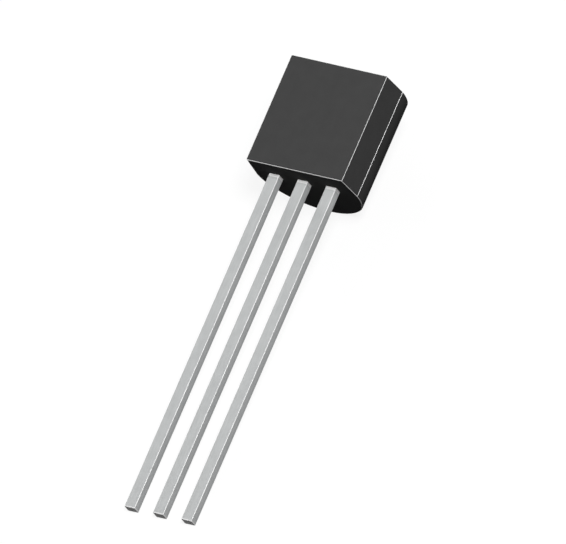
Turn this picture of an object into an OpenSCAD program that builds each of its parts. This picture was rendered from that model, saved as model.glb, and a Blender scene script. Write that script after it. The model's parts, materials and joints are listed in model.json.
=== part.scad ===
// TO-92 transistor: a D-shaped moulded case on three flat leads, with its chip inside.
// Every piece is drawn upright: X along the row of leads, Y from the flat front into the
// case, Z up from the seating face. lay_down() turns it onto its round back, as it rests.

/* [Case] */
// Overall width, across the round back
case_w = 4.55; // [4.45:0.05:5.2]
// Height from the seating face to the top
case_h = 4.5; // [4.3:0.1:6]
// Width of the flat front
flat_w = 4.28; // [3.9:0.02:4.38]
// Depth from the flat front to the parting plane of the mould
parting_depth = 1.25; // [1.1:0.05:1.5]
// Step at the parting plane, where the front half stands in from the back half
parting_step = 0.01; // [0.005:0.005:0.02]
// Width of the small bevel on the case's edges
case_bevel = 0.04; // [0.02:0.01:0.08]

/* [Marks of the mould] */
// Diameter of the ejector pin's mark on the round back
ejector_d = 1; // [0.8:0.1:1.2]
// Depth of the ejector pin's mark at the middle of the back
ejector_depth = 0.07; // [0.07:0.01:0.12]
// Width of the scar on the top, where the gate broke off
gate_w = 0.9; // [0.6:0.1:1.2]
// Thickness of the gate, behind the parting plane
gate_t = 0.3; // [0.2:0.05:0.4]
// Depth of the gate's scar
gate_depth = 0.03; // [0.02:0.01:0.05]

/* [Leads] */
// Distance between the middles of neighbouring leads
lead_pitch = 1.27; // [1.22:0.01:1.3]
// Width of a lead along the row
lead_w = 0.46; // [0.4:0.01:0.5]
// Thickness of the lead frame's sheet
lead_t = 0.38; // [0.34:0.01:0.42]
// Length of lead below the seating face
lead_len = 14.3; // [12.7:0.1:16]
// Radius that the plating leaves on a lead's long edges
lead_corner_r = 0.03; // [0.01:0.01:0.06]

/* [Lead frame inside the case] */
// Height above the seating face at which the leads widen
anchor_z = 0.75; // [0.5:0.05:0.9]
// Width of the posts that take the bond wires
post_w = 0.82; // [0.7:0.02:0.86]
// Height of the base lead's post
base_post_h = 0.75; // [0.6:0.05:0.8]
// Height of the emitter lead's post, which stands beside the flag
emitter_post_h = 1.6; // [1.2:0.1:1.8]
// Gap between the base lead's post and the flag above it
flag_gap = 0.3; // [0.25:0.05:0.35]
// Width of the flag, the collector lead's pad for the chip
flag_w = 1.9; // [1.6:0.05:1.95]
// Height of the flag
flag_h = 1.75; // [1.5:0.05:1.8]

/* [Chip] */
// Side of the square chip
die_side = 0.46; // [0.36:0.02:0.6]
// Thickness of the chip
die_t = 0.2; // [0.15:0.01:0.25]
// Thickness of the layer that bonds the chip to the flag
bond_t = 0.02; // [0.015:0.005:0.03]
// Width by which that layer shows round the chip
bond_margin = 0.03; // [0.02:0.01:0.05]

/* [Bond wires] */
// Diameter of the gold wire
wire_d = 0.03; // [0.025:0.005:0.04]
// Diameter of the ball that is pressed onto the chip
ball_d = 0.09; // [0.08:0.01:0.1]
// Height of the pressed ball
ball_h = 0.03; // [0.025:0.005:0.04]
// Length of straight wire above the ball
neck_h = 0.08; // [0.05:0.01:0.1]
// Radius of the loop at the middle of the wire
loop_r = 0.15; // [0.1:0.01:0.18]
// Diameter of the stitch that is pressed onto a post
stitch_d = 0.1; // [0.08:0.01:0.12]
// Thickness of the stitch
stitch_t = 0.012; // [0.01:0.002:0.02]
// Distance of each bond pad from the middle of the chip
pad_offset = 0.11; // [0.08:0.01:0.12]

/* [Hidden] */
$fn = 64;
case_r = case_w / 2;
case_d = parting_depth + case_r;
front_half_w = case_w - 2 * parting_step;
side_splay = atan2((front_half_w - flat_w) / 2, parting_depth);
// The sheet's back face lies in the parting plane.
lead_front = parting_depth - lead_t;
emitter_x = -lead_pitch;
base_x = 0;
collector_x = lead_pitch;
flag_right = collector_x + lead_w / 2;
flag_mid_x = flag_right - flag_w / 2;
flag_z = anchor_z + base_post_h + flag_gap;
flag_mid_z = flag_z + flag_h / 2;
bond_side = die_side + 2 * bond_margin;
die_top = bond_t + die_t;
base_pad = [flag_mid_x, flag_mid_z - pad_offset];
emitter_pad = [flag_mid_x - pad_offset, flag_mid_z + pad_offset / 2];
base_stitch = [base_x, anchor_z + base_post_h / 2];
emitter_stitch = [emitter_x, anchor_z + emitter_post_h * 0.8];
// A hair over the wire, where its bent and straight lengths meet
joint_d = 1.04 * wire_d;
// Longer than any piece, for the blocks that only trim
reach = 4 * case_h;

// At rest the edge of the case's back and the backs of the lead tips touch the surface.
rest_tilt = atan2(case_d - parting_depth, lead_len + case_bevel);
rest_lift = case_d * cos(rest_tilt) - case_bevel * sin(rest_tilt);
case_end = (case_d - case_bevel) * sin(rest_tilt) + case_h * cos(rest_tilt);
tips_end = lead_front * sin(rest_tilt) - lead_len * cos(rest_tilt);

// Turns an upright piece onto its back, with the middle of the resting part at the origin.
module lay_down() {
    translate([0, -(case_end + tips_end) / 2, rest_lift])
        rotate([rest_tilt - 90, 0, 0])
            children();
}

// A rectangle with rounded corners, its middle at the origin.
module rounded_rect(w, h, r) {
    square([w - 2 * r, h], center = true);
    square([w, h - 2 * r], center = true);
    for (x = [-1, 1], y = [-1, 1])
        translate([x * (w / 2 - r), y * (h / 2 - r)])
            circle(r);
}

// ---- Case ----

// Half of the case's side view, from the axis out to r, bevelled at both ends.
module wall_profile(r) {
    polygon([
        [0, 0], [r - case_bevel, 0], [r, case_bevel],
        [r, case_h - case_bevel], [r - case_bevel, case_h], [0, case_h]
    ]);
}

// The front half from above: the flat, its two bevelled corners and the splayed sides.
module front_outline() {
    right = [
        [flat_w / 2 - case_bevel, 0],
        [flat_w / 2 + case_bevel * sin(side_splay), case_bevel * cos(side_splay)],
        [front_half_w / 2, parting_depth]
    ];
    left = [for (i = [len(right) - 1:-1:0]) [-right[i].x, right[i].y]];
    polygon(concat(right, left));
}

// Everything behind the plane of one splayed side, with that side's end edges bevelled.
module side_block() {
    translate([flat_w / 2, 0, 0])
        rotate([0, 0, -side_splay])
            translate([-case_w, 0, 0])
                rotate([90, 0, 0])
                    linear_extrude(reach, center = true)
                        wall_profile(case_w);
}

// Everything behind the plane of the flat, with the flat's end edges bevelled.
module flat_block() {
    translate([0, case_w, 0])
        rotate([90, 0, -90])
            linear_extrude(reach, center = true)
                wall_profile(case_w);
}

module front_half() {
    intersection() {
        linear_extrude(case_h)
            front_outline();
        flat_block();
        side_block();
        mirror([1, 0, 0])
            side_block();
    }
}

module back_half() {
    translate([0, parting_depth, 0])
        rotate_extrude(angle = 180)
            wall_profile(case_r);
}

module ejector_mark() {
    translate([0, case_d - ejector_depth, case_h / 2])
        rotate([-90, 0, 0])
            cylinder(d = ejector_d, h = case_r);
}

module gate_scar() {
    translate([-gate_w / 2, parting_depth, case_h - gate_depth])
        cube([gate_w, gate_t, case_h]);
}

module case_upright() {
    difference() {
        union() {
            front_half();
            back_half();
        }
        ejector_mark();
        gate_scar();
        emitter_lead_upright();
        base_lead_upright();
        collector_lead_upright();
        chip_room();
        base_wire_upright();
        emitter_wire_upright();
    }
}

// ---- Lead frame ----

// One lead from its tip up to height top, centred on x.
module leg(x, top) {
    translate([x, lead_front + lead_t / 2, -lead_len])
        linear_extrude(lead_len + top)
            rounded_rect(lead_w, lead_t, lead_corner_r);
}

// A stamped area of the sheet, with its lower left corner at x and z.
module sheet(x, z, w, h) {
    translate([x, lead_front, z])
        cube([w, lead_t, h]);
}

module wire_lead_upright(x, post_h) {
    leg(x, anchor_z + post_h / 2);
    sheet(x - post_w / 2, anchor_z, post_w, post_h);
}

module emitter_lead_upright() {
    wire_lead_upright(emitter_x, emitter_post_h);
}

module base_lead_upright() {
    wire_lead_upright(base_x, base_post_h);
}

module collector_lead_upright() {
    leg(collector_x, flag_z + flag_h / 2);
    sheet(flag_right - flag_w, flag_z, flag_w, flag_h);
}

// ---- Chip ----

// A square block in the middle of the flag, between two heights above the sheet's front face.
module on_flag(side, bottom, top) {
    translate([flag_mid_x - side / 2, lead_front - top, flag_mid_z - side / 2])
        cube([side, top - bottom, side]);
}

module die_bond_upright() {
    on_flag(bond_side, 0, bond_t);
}

module die_upright() {
    on_flag(die_side, bond_t, die_top);
}

// What the chip and its bond take up in the case. It starts inside the flag, so that no skin
// of the case is left where one seats on the other.
module chip_room() {
    on_flag(bond_side, -lead_t / 2, bond_t);
    on_flag(die_side, -lead_t / 2, die_top);
}

// ---- Bond wires ----

// A wire from a pad on the chip to a stitch on a post, both given as [x, z]: a pressed ball,
// a straight neck, a loop, and a straight run tangent to the loop down to the sheet's face.
module bond_wire(pad, stitch) {
    way = stitch - pad;
    run = norm(way);
    loop_z = die_top + ball_h + neck_h;
    loop_to_stitch = norm([run - loop_r, loop_z]);
    fall = atan2(loop_z, run - loop_r) + asin(loop_r / loop_to_stitch);
    straight = sqrt(pow(loop_to_stitch, 2) - pow(loop_r, 2));
    loop_end = [loop_r * (1 + sin(fall)), loop_z + loop_r * cos(fall)];
    translate([pad.x, lead_front, pad.y])
        rotate([90, 0, 0])
            rotate([0, 0, atan2(way.y, way.x)]) {
                translate([0, 0, die_top])
                    ball();
                translate([0, 0, die_top + ball_h / 2])
                    cylinder(d = wire_d, h = ball_h / 2 + neck_h);
                for (end = [[0, loop_z], loop_end])
                    translate([end.x, 0, end.y])
                        sphere(d = joint_d);
                translate([loop_r, 0, loop_z])
                    rotate([90, 0, 0])
                        rotate([0, 0, 90 - fall])
                            rotate_extrude(angle = 90 + fall)
                                translate([loop_r, 0])
                                    circle(d = wire_d);
                intersection() {
                    translate([loop_end.x, 0, loop_end.y])
                        rotate([0, 90 + fall, 0])
                            cylinder(d = wire_d, h = straight + 2 * wire_d);
                    translate([0, -reach / 2, 0])
                        cube(reach);
                }
                translate([run, 0, 0])
                    cylinder(d = stitch_d, h = stitch_t);
            }
}

module ball() {
    intersection() {
        translate([0, 0, ball_h / 2])
            sphere(d = ball_d);
        cylinder(d = 2 * ball_d, h = ball_h);
    }
}

module base_wire_upright() {
    bond_wire(base_pad, base_stitch);
}

module emitter_wire_upright() {
    bond_wire(emitter_pad, emitter_stitch);
}

// ---- Nodes ----

module case() {
    color([0.07, 0.07, 0.075])
        lay_down()
            case_upright();
}

module emitter_lead() {
    color([0.75, 0.75, 0.76])
        lay_down()
            emitter_lead_upright();
}

module base_lead() {
    color([0.75, 0.75, 0.76])
        lay_down()
            base_lead_upright();
}

module collector_lead() {
    color([0.75, 0.75, 0.76])
        lay_down()
            collector_lead_upright();
}

module die() {
    color([0.3, 0.32, 0.36])
        lay_down()
            die_upright();
}

module die_bond() {
    color([0.8, 0.8, 0.78])
        lay_down()
            die_bond_upright();
}

module base_wire() {
    color([0.85, 0.65, 0.25])
        lay_down()
            base_wire_upright();
}

module emitter_wire() {
    color([0.85, 0.65, 0.25])
        lay_down()
            emitter_wire_upright();
}

case();
emitter_lead();
base_lead();
collector_lead();
die();
die_bond();
base_wire();
emitter_wire();
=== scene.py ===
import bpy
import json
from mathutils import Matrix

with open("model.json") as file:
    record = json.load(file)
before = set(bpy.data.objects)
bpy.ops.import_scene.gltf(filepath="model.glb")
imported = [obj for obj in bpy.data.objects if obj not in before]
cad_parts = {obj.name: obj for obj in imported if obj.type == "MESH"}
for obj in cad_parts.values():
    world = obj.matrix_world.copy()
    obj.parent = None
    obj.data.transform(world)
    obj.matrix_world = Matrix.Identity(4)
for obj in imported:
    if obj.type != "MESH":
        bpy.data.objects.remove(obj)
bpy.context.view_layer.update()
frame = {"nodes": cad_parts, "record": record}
import json
import math

import bpy
from mathutils import Matrix, Vector

mm = 0.001
lineSoftness = 0.15  # of a painted highlight line's width, at each of its rims

# The record states the planes of the flat and of the seating face. They give the case's own
# directions: across along the row of leads, depth from the flat, and height from the seat.
mounts = {mount["name"]: mount for mount in frame["record"]["mounts"]}
upCase = -Vector(mounts["seating_face"]["axis"]).normalized()
flatPoint = Vector(mounts["flat_front"]["pos_m"])
seatPoint = Vector(mounts["seating_face"]["pos_m"])
flatFoot = flatPoint - upCase * (flatPoint - seatPoint).dot(upCase)
standTurn = math.atan2(upCase.y, upCase.z)
standUp = Matrix.Rotation(standTurn, 3, "X")


def standingPoints(node):  # a node's points as across, depth and height, in mm from the foot of the flat
    return [standUp @ (vertex.co - flatFoot) / mm for vertex in frame["nodes"][node].data.vertices]


def reach(points, axis):
    places = [point[axis] for point in points]
    return min(places), max(places)


class Wire:  # a node's output, which the materials add and scale like a number
    def __init__(self, tree, socket):
        self.tree = tree
        self.socket = socket

    def __add__(self, other):
        return self.tree.maths("ADD", self, other)

    def __sub__(self, other):
        return self.tree.maths("SUBTRACT", self, other)

    def __rsub__(self, other):
        return self.tree.maths("SUBTRACT", other, self)

    def __mul__(self, other):
        return self.tree.maths("MULTIPLY", self, other)

    def __neg__(self):
        return self.tree.maths("SUBTRACT", 0.0, self)

    def __abs__(self):
        return self.tree.maths("ABSOLUTE", self)

    __radd__ = __add__
    __rmul__ = __mul__


class Tree:  # the nodes of one material or of the world
    def __init__(self, owner):
        owner.use_nodes = True
        self.nodes = owner.node_tree.nodes
        self.links = owner.node_tree.links
        self.nodes.clear()

    def add(self, kind, settings=None, inputs=None, output=0):
        node = self.nodes.new("ShaderNode" + kind)
        for name, value in (settings or {}).items():
            setattr(node, name, value)
        for name, value in (inputs or {}).items():
            if isinstance(value, Wire):
                self.links.new(value.socket, node.inputs[name])
            else:
                node.inputs[name].default_value = value
        return None if output is None else Wire(self, node.outputs[output])

    def maths(self, operation, *values):
        return self.add("Math", {"operation": operation}, dict(enumerate(values)))

    def least(self, *values):
        result = values[0]
        for value in values[1:]:
            result = self.maths("MINIMUM", result, value)
        return result

    def most(self, *values):
        result = values[0]
        for value in values[1:]:
            result = self.maths("MAXIMUM", result, value)
        return result

    def length(self, first, second):
        return self.maths("SQRT", first * first + second * second)

    def fade(self, value, full, none):  # 1 up to the value full, then smoothly down to 0 at none
        return self.add("MapRange", {"interpolation_type": "SMOOTHSTEP"},
                        {"Value": value, "From Min": full, "From Max": none, "To Min": 1, "To Max": 0})

    def line(self, distance, width):
        return self.fade(distance, width * (1 - lineSoftness), width * (1 + lineSoftness))

    def edge(self, first, second, look):  # a line where two faces meet, from the distances to them
        width, lean = look
        return self.line(self.most(first - lean, second + lean), width)

    def mix(self, share, first, second):
        return self.add("Mix", {"data_type": "RGBA"}, {0: share, 6: first, 7: second}, 2)

    def tint(self, colour, level):  # a colour times a varying level
        colour = colour if isinstance(colour, Wire) else colour[:3]
        plain = self.add("CombineXYZ", None, {0: level, 1: level, 2: level})
        return self.add("VectorMath", {"operation": "MULTIPLY"}, {0: plain, 1: colour})

    def standing(self):  # the place as across, depth and height, in mm from the foot of the flat
        return self.add("Mapping", {"vector_type": "POINT"}, {
            "Vector": self.add("TexCoord", output="Object"),
            "Location": -(standUp @ flatFoot) / mm,
            "Rotation": (standTurn, 0, 0),
            "Scale": (1 / mm, 1 / mm, 1 / mm),
        })

    def split(self, vector):
        node = self.add("SeparateXYZ", None, {0: vector}).socket.node
        return [Wire(self, output) for output in node.outputs]

    def noise(self, vector, scale, detail=3.0, stretch=(1, 1, 1)):  # evenly about 0
        spread = self.add("VectorMath", {"operation": "MULTIPLY"}, {0: vector, 1: stretch})
        return self.add("TexNoise", None, {"Vector": spread, "Scale": scale, "Detail": detail}) - 0.5

    def bump(self, height, strength, deep):
        return self.add("Bump", None, {"Strength": strength, "Distance": deep * mm, "Height": height})

    def surface(self, inputs):
        shader = self.add("BsdfPrincipled", None, inputs)
        self.add("OutputMaterial", None, {"Surface": shader}, output=None)

    def seen(self):  # 1 where the camera looks, straight on or through metal's and glass's reflections
        path = self.add("LightPath").socket.node
        names = ("Is Camera Ray", "Is Glossy Ray", "Is Transmission Ray")
        straight, glossy, through = [Wire(self, path.outputs[name]) for name in names]
        return self.least(straight + glossy + through, 1.0)


def grey(level):
    return (level, level, level, 1)


def dress(node, material):
    for slot in frame["nodes"][node].material_slots:
        slot.material = material


# The case is matt moulding compound with the grain of a spark-eroded mould. Its edges and its
# parting line carry near-white painted highlights, the gate's scar on its top is coarse and the
# ejector pin's mark on its back is smooth.
caseLook = {
    "flatWidth": 4.28,  # mm, as are all the sizes below
    "partingDepth": 1.25,
    "partingStep": 0.01,
    "arcSag": 0.0048,  # how far the flats of the back's mesh lie inside its arc
    "uprightEdge": (0.0250, 0.0075),  # how wide the painted highlight is, and how far it leans from the first face
    "topEdge": (0.0225, 0.0100),
    "seatEdge": (0.0283, 0.0095),
    "partingLine": (0.0090, -0.0065),  # half its width, and its place behind the parting plane
    "partingRim": (0.02, 0.03),  # how deep under the skin the line ends
    "gateScar": (0.9, 0.3),  # width and thickness
    "scarRim": (-0.015, 0.005),
    "scarReach": (0.05, 0.06),  # down from the top
    "ejectorMark": (0.49, 0.50),  # its radius, where it starts to fade and where it ends
    "markReach": (0.3, 0.4),  # forward from the back
    "epoxy": grey(0.0555),
    # near white: the painted highlight on the edges and the parting line
    "caseHighlightGrey": grey(0.90),
    "broken": grey(0.11),
    "polished": grey(0.05),
    "roughness": 0.9,
    "gloss": 0.008,
    "grain": (45.0, 0.45, 0.15),  # to a mm, then how much it shades and how much it roughens
    "cloud": (1.8, 0.20, 0.10),
    "crumbs": (18.0, 1.1, 4.0),  # to a mm, how much they shade, and how high they stand against the grain
    "markGrain": 0.2,  # the share of the grain that the ejector pin leaves
    "markGloss": 0.3,
    "bump": (0.25, 0.004),
}


def caseMaterial(look):
    material = bpy.data.materials.new("mouldedEpoxy")
    tree = Tree(material)
    place = tree.standing()
    across, depth, height = tree.split(place)
    points = standingPoints("case")
    radius = reach(points, 0)[1]
    deep = reach(points, 1)[1]
    tall = reach(points, 2)[1]
    splay = math.atan2(radius - look["partingStep"] - look["flatWidth"] / 2, look["partingDepth"])

    side = abs(across)
    behind = depth - look["partingDepth"]
    toSide = (look["flatWidth"] / 2 - side) * math.cos(splay) + depth * math.sin(splay)
    toRound = radius - look["arcSag"] / 2 - tree.length(side, tree.most(behind, 0.0))
    toWall = tree.least(toSide, toRound)
    toSkin = tree.least(depth, toWall)
    lineWidth, linePlace = look["partingLine"]
    # painted highlights: pale lines along the case's edges and its parting line
    caseEdgeHighlights = tree.most(
        tree.edge(depth, toWall, look["uprightEdge"]),
        tree.edge(toSkin, tall - height, look["topEdge"]),
        tree.edge(toSkin, height, look["seatEdge"]),
        tree.line(abs(behind - linePlace), lineWidth) * tree.fade(toWall, *look["partingRim"]),
    )

    scarWidth, scarThickness = look["gateScar"]
    outOfScar = tree.most(side - scarWidth / 2, abs(behind - scarThickness / 2) - scarThickness / 2)
    scar = tree.fade(outOfScar, *look["scarRim"]) * tree.fade(tall - height, *look["scarReach"])
    fromPin = tree.length(side, height - tall / 2)
    pinMark = tree.fade(fromPin, *look["ejectorMark"]) * tree.fade(deep - depth, *look["markReach"])

    cloudScale, cloudShade, cloudRough = look["cloud"]
    grainScale, grainShade, grainRough = look["grain"]
    crumbScale, crumbShade, crumbHeight = look["crumbs"]
    cloud = tree.noise(place, cloudScale)
    grain = tree.noise(place, grainScale, detail=2.0) * (1.0 - pinMark * (1 - look["markGrain"]))
    crumb = tree.noise(place, crumbScale, detail=4.0) * scar
    level = 1.0 + cloud * cloudShade + grain * grainShade + crumb * crumbShade
    roughness = look["roughness"] + grain * grainRough + cloud * cloudRough
    skin = tree.mix(scar, tree.mix(pinMark, look["epoxy"], look["polished"]), look["broken"])
    tree.surface({
        "Base Color": tree.mix(caseEdgeHighlights, tree.tint(skin, level), look["caseHighlightGrey"]),
        "Roughness": roughness - pinMark * look["markGloss"],
        "Specular IOR Level": look["gloss"],
        "Normal": tree.bump(grain + crumb * crumbHeight, *look["bump"]),
    })
    return material


dress("case", caseMaterial(caseLook))
print("case dressed")


# Each lead is punched from sheet: its sides have a smooth and a torn band, fine lines run along
# it, its edges carry painted highlights, and its tip is bare where it was sheared off. It is tinned
# outside the case; next to the case its tin is painted paler and a near-white band is painted
# where it leaves the case, painted light that lifts the case's shade.
# Inside it is bare copper alloy, silvered on the front where the chip and the wires are bonded.
leadLook = {
    "bareBelow": -0.1,  # mm above the seat
    "leadEdgeHighlight": 0.020,  # mm, how wide the painted highlight on the edges is
    "tipHighlightReach": 0.015,  # how much further the painted edge highlight reaches at the tip
    "exitLightReach": (0.075, 0.14),  # mm below the seat, where the painted light at the exit fades out
    "plate": (0.410, 0.420, 0.421, 1),
    # the painted highlight on the lead's edges
    "leadHighlightGrey": grey(0.70),
    # near white: painted light at the exit, lifting the case's shade there
    "exitLight": grey(0.95),
    "sheared": grey(0.21),
    "copper": (0.52, 0.25, 0.15, 1),
    "silver": grey(0.66),
    "silverFrom": 1.05,  # mm above the seat
    "silverRim": (-0.05, 0.0),
    "silverSkin": (0.002, 0.010),  # mm deep
    "outside": (0.02, 0.04),  # mm above the seat, where the tin ends
    "cut": (0.002, 0.005),  # mm from the tip, where the sheared face ends
    "metal": 0.15,
    "metalInside": 0.9,
    "roughness": 0.42,
    "lines": (24.0, 0.03, 0.24, 0.12),  # to a mm, how far drawn out, how much they shade and roughen
    "cloud": (2.2, 0.20),
    "caseShadeLift": (1.4, 0.25, 0.17),  # painted light lifting the case's shade: mm out, how much, how much more on the sides
    "torn": (0.62, 0.68),  # where the torn band starts, as shares of the sheet's thickness
    "tornMarks": (0.10, 0.10),  # how much it shades and roughens
    "tornRim": (9.0, 0.25),  # to a mm, and how far its rim strays, as a share of the sheet's thickness
    "sideSkin": (0.01, 0.02),  # mm deep
    "shear": (26.0, 0.25, 0.9, 0.2),  # the same for the streaks across the sheared tip
    "shearHeight": 3.0,  # against the lines
    "bump": (0.2, 0.003),
}


def leadMaterial(look, name, node):
    material = bpy.data.materials.new(name)
    tree = Tree(material)
    place = tree.standing()
    across, depth, height = tree.split(place)
    bare = [point for point in standingPoints(node) if point.z < look["bareBelow"]]
    left, right = reach(bare, 0)
    front, back = reach(bare, 1)
    tip = reach(bare, 2)[0]

    toSide = (right - left) / 2 - abs(across - (left + right) / 2)
    toFace = tree.least(depth - front, back - depth)
    toTip = height - tip
    nearest = tree.least(toSide, toFace)
    further = tree.most(toSide, toFace)
    # painted highlight along the lead's edges and at its tip
    leadEdgeHighlight = tree.line(tree.most(nearest, tree.least(further, toTip - look["tipHighlightReach"])), look["leadEdgeHighlight"])
    outside = tree.fade(height, *look["outside"])
    # painted light: a near-white band where the lead leaves the case
    exitLight = tree.fade(-height, *look["exitLightReach"]) * outside
    cut = tree.fade(toTip, *look["cut"])
    silvered = tree.fade(depth - front, *look["silverSkin"])
    silvered = silvered * tree.fade(look["silverFrom"] - height, *look["silverRim"])

    lineScale, lineStretch, lineShade, lineRough = look["lines"]
    cloudScale, cloudShade = look["cloud"]
    caseShadeLiftLength, caseShadeLiftShade, caseShadeLiftSide = look["caseShadeLift"]
    tornShade, tornRough = look["tornMarks"]
    rimScale, rimShare = look["tornRim"]
    shearScale, shearStretch, shearShade, shearRough = look["shear"]
    lines = tree.noise(place, lineScale, stretch=(1, 1, lineStretch))
    cloud = tree.noise(place, cloudScale)
    # painted light: the tin grows paler towards the case, more on the sides, lifting the case's shade
    caseShadeLift = tree.fade(-height, 0.0, caseShadeLiftLength) * outside
    throughSheet = (depth - front) * (1 / (back - front)) + tree.noise(place, rimScale) * rimShare
    onSide = tree.fade(toSide, *look["sideSkin"])
    torn = onSide * (1.0 - tree.fade(throughSheet, *look["torn"]))
    streaks = tree.noise(place, shearScale, stretch=(1, shearStretch, 1)) * cut
    level = 1.0 + lines * lineShade + cloud * cloudShade + caseShadeLift * (caseShadeLiftShade + onSide * caseShadeLiftSide)
    level = level - torn * tornShade + streaks * shearShade
    skin = tree.mix(outside, tree.mix(silvered, look["copper"], look["silver"]), look["plate"])
    skin = tree.tint(tree.mix(cut, skin, look["sheared"]), level)
    skin = tree.mix(leadEdgeHighlight * outside, skin, look["leadHighlightGrey"])
    tree.surface({
        "Base Color": tree.mix(exitLight, skin, look["exitLight"]),
        "Metallic": look["metalInside"] - outside * (look["metalInside"] - look["metal"]),
        "Roughness": look["roughness"] + lines * lineRough + torn * tornRough + cut * shearRough,
        "Normal": tree.bump(lines + streaks * look["shearHeight"], *look["bump"]),
    })
    return material


for leadName in ("emitter_lead", "base_lead", "collector_lead"):
    dress(leadName, leadMaterial(leadLook, "tinPlate_" + leadName, leadName))
print("leads dressed")


# The chip has sawn sides and two bare aluminium pads, which the wires' balls are pressed onto.
chipLook = {
    "sawn": grey(0.16),
    "glassed": (0.10, 0.12, 0.17, 1),
    "pad": grey(0.72),
    "padSize": 0.12,  # mm, as are the next four
    "padRim": (-0.003, 0.0),
    "border": (0.030, 0.036),
    "faceSkin": (0.001, 0.003),
    "ballPress": 0.02,
    "marks": (40.0, 0.3, 0.2),  # to a mm, then how much they shade and roughen
    "metal": 0.3,
    "padMetal": 0.9,
    "roughness": 0.45,
    "glassRoughness": 0.2,
    "wires": ("base_wire", "emitter_wire"),
}


def chipMaterial(look):
    material = bpy.data.materials.new("silicon")
    tree = Tree(material)
    place = tree.standing()
    across, depth, height = tree.split(place)
    points = standingPoints("die")
    left, right = reach(points, 0)
    low, high = reach(points, 2)
    bond = sum(reach(standingPoints("die_bond"), 1)) / 2
    face = max(reach(points, 1), key=lambda level: abs(level - bond))

    onFace = tree.fade(abs(depth - face), *look["faceSkin"])
    toRim = tree.least(across - left, right - across, height - low, high - height)
    glassed = onFace * (1.0 - tree.fade(toRim, *look["border"]))
    pads = 0.0
    for wire in look["wires"]:
        ball = [point for point in standingPoints(wire) if abs(point.y - face) < look["ballPress"]
                and left < point.x < right and low < point.z < high]
        middle = sum(ball, Vector()) / len(ball)
        outOfPad = tree.most(abs(across - middle.x), abs(height - middle.z)) - look["padSize"] / 2
        pads = tree.most(pads, tree.fade(outOfPad, *look["padRim"]) * onFace)
    markScale, markShade, markRough = look["marks"]
    marks = tree.noise(place, markScale)
    skin = tree.mix(pads, tree.mix(glassed, look["sawn"], look["glassed"]), look["pad"])
    gloss = glassed * (look["roughness"] - look["glassRoughness"])
    tree.surface({
        "Base Color": tree.tint(skin, 1.0 + marks * markShade),
        "Metallic": look["metal"] + pads * (look["padMetal"] - look["metal"]),
        "Roughness": look["roughness"] - gloss + marks * markRough,
    })
    return material


insideLooks = {  # colour, how metallic, roughness, then marks to a mm and how much they shade and roughen
    "chipBond": (grey(0.6), 1.0, 0.5, (60.0, 0.3, 0.2)),
    "goldWire": ((0.95, 0.62, 0.22, 1), 1.0, 0.2, (90.0, 0.3, 0.2)),
}


def insideMaterial(name, look):
    colour, metal, roughness, (markScale, markShade, markRough) = look
    material = bpy.data.materials.new(name)
    tree = Tree(material)
    marks = tree.noise(tree.standing(), markScale)
    tree.surface({
        "Base Color": tree.tint(colour, 1.0 + marks * markShade),
        "Metallic": metal,
        "Roughness": roughness + marks * markRough,
    })
    return material


dress("die", chipMaterial(chipLook))
dress("die_bond", insideMaterial("chipBond", insideLooks["chipBond"]))
goldMaterial = insideMaterial("goldWire", insideLooks["goldWire"])
dress("base_wire", goldMaterial)
dress("emitter_wire", goldMaterial)
print("chip and wires dressed")


floorLook = {
    "width": 1.2,  # m
    "below": 0.002,  # mm, so that it stays clear of the round back
    "seen": grey(1.0),
    "bounce": grey(0.05),
    "glow": 0.88,
}


def makeFloor(look):
    half = look["width"] / 2
    mesh = bpy.data.meshes.new("floor")
    corners = [(-half, -half, 0), (half, -half, 0), (half, half, 0), (-half, half, 0)]
    mesh.from_pydata(corners, [], [(0, 1, 2, 3)])
    floor = bpy.data.objects.new("floor", mesh)
    floor.location.z = -look["below"] * mm
    bpy.context.scene.collection.objects.link(floor)
    material = bpy.data.materials.new("paleFloor")
    mesh.materials.append(material)
    tree = Tree(material)
    seen = tree.seen()
    matt = tree.add("BsdfDiffuse", None, {"Color": tree.mix(seen, look["bounce"], look["seen"])})
    glow = tree.add("Emission", None, {"Color": grey(1.0), "Strength": 1.0})
    both = tree.add("MixShader", None, {0: seen * look["glow"], 1: matt, 2: glow})
    tree.add("OutputMaterial", None, {"Surface": both}, output=None)


domeLook = {
    "allRound": 0.02,
    "overhead": 0.10,
    "behind": 0.10,
    "left": 0.08,
}


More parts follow.
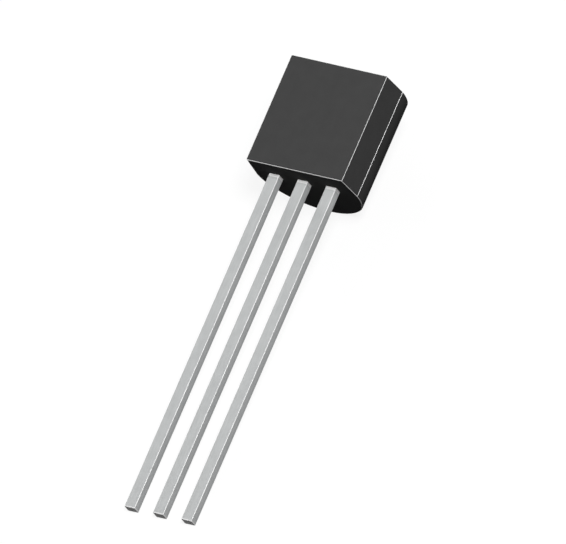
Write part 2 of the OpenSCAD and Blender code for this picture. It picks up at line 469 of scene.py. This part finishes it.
def makeDome(look):
    world = bpy.data.worlds.new("dome")
    bpy.context.scene.world = world
    tree = Tree(world)
    x, y, z = tree.split(tree.add("TexCoord", output="Generated"))
    level = look["allRound"] + tree.most(z, 0.0) * look["overhead"] + tree.most(y, 0.0) * look["behind"]
    level = level + tree.most(-x, 0.0) * look["left"]
    colour = tree.mix(tree.seen(), tree.tint(grey(1.0), level), grey(1.0))
    shade = tree.add("Background", None, {"Color": colour, "Strength": 1.0})
    tree.add("OutputWorld", None, {"Surface": shade}, output=None)


softboxLooks = {  # direction, distance and size in m, and level: 1 shows a facing white surface as white
    "keyBox": ((0.50, -0.09, 0.86), 0.3, 0.08, 1.0),
    "topBox": ((-0.51, -0.10, 0.84), 0.3, 0.12, 0.1),
    "backBox": ((-0.69, 0.69, 0.21), 0.3, 0.12, 0.5),
}


def makeSoftbox(name, look):
    toward, distance, size, level = look
    direction = Vector(toward).normalized()
    lamp = bpy.data.lights.new(name, "AREA")
    lamp.shape = "SQUARE"
    lamp.size = size
    lamp.energy = math.pi ** 2 * level * distance ** 2
    box = bpy.data.objects.new(name, lamp)
    box.location = direction * distance
    box.rotation_mode = "QUATERNION"
    box.rotation_quaternion = (-direction).to_track_quat("-Z", "Y")
    bpy.context.scene.collection.objects.link(box)


makeFloor(floorLook)
makeDome(domeLook)
for boxName, boxLook in softboxLooks.items():
    makeSoftbox(boxName, boxLook)
print("studio lit by", len(softboxLooks), "softboxes")


cameraLook = {
    "around": 50.24,  # degrees, from straight in front of the lead tips
    "above": 48.52,
    "roll": -29.26,
    "aim": (-0.168, 1.748, 0.579),  # mm
    "away": 80.0,
    "frameWidth": 21.246,
    "sees": (0.001, 10),  # m, from the nearest to the furthest
}


def makeCamera(look):
    data = bpy.data.cameras.new("camera")
    data.type = "ORTHO"
    data.ortho_scale = look["frameWidth"] * mm
    data.clip_start, data.clip_end = look["sees"]
    camera = bpy.data.objects.new("camera", data)
    turn = (Matrix.Rotation(math.radians(look["around"]), 4, "Z")
            @ Matrix.Rotation(math.radians(90 - look["above"]), 4, "X")
            @ Matrix.Rotation(math.radians(look["roll"]), 4, "Z"))
    back = turn @ Vector((0, 0, look["away"] * mm))
    camera.matrix_world = Matrix.Translation(Vector(look["aim"]) * mm + back) @ turn
    bpy.context.scene.collection.objects.link(camera)
    bpy.context.scene.camera = camera


makeCamera(cameraLook)
bpy.context.scene.view_settings.view_transform = "Standard"
print("camera set")
